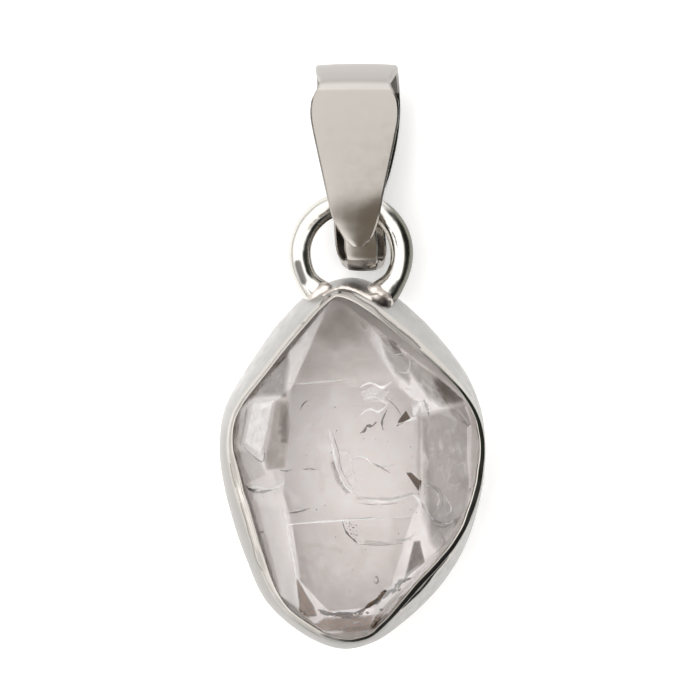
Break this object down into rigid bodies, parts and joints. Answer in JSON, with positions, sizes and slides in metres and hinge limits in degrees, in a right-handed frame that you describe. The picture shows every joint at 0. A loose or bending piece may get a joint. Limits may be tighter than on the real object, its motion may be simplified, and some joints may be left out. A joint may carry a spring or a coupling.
{
  "type": "raw crystal pendant",
  "caption": "Raw double-ended quartz crystal held in a silver bezel cup, with a soldered wire ring and a tapered folded bail for a chain.",
  "frame": {"origin": "middle of the bounding box, on the surface that the pendant lies on", "axes": "+Z out of the crystal's front, +Y from the crystal towards the bail, +X to the right seen from the front"},
  "size_m": [0.0134, 0.0296, 0.0081],
  "materials": {
    "quartz": "clear with veils and rust-brown specks, smooth natural faces",
    "silver": "hand-polished sterling silver"
  },
  "bodies": {
    "setting": {"crystal": "quartz", "bezel": "silver", "back_plate": "silver", "ring": "silver"},
    "bail": {"bail": "silver"}
  },
  "joints": [
    {"name": "bail_swing", "type": "hinge", "parent": "setting", "child": "bail", "pos_m": [0.00022, 0.00777, 0.00252], "axis": [1, 0, 0], "range_deg": [-90, 110]}
  ]
}
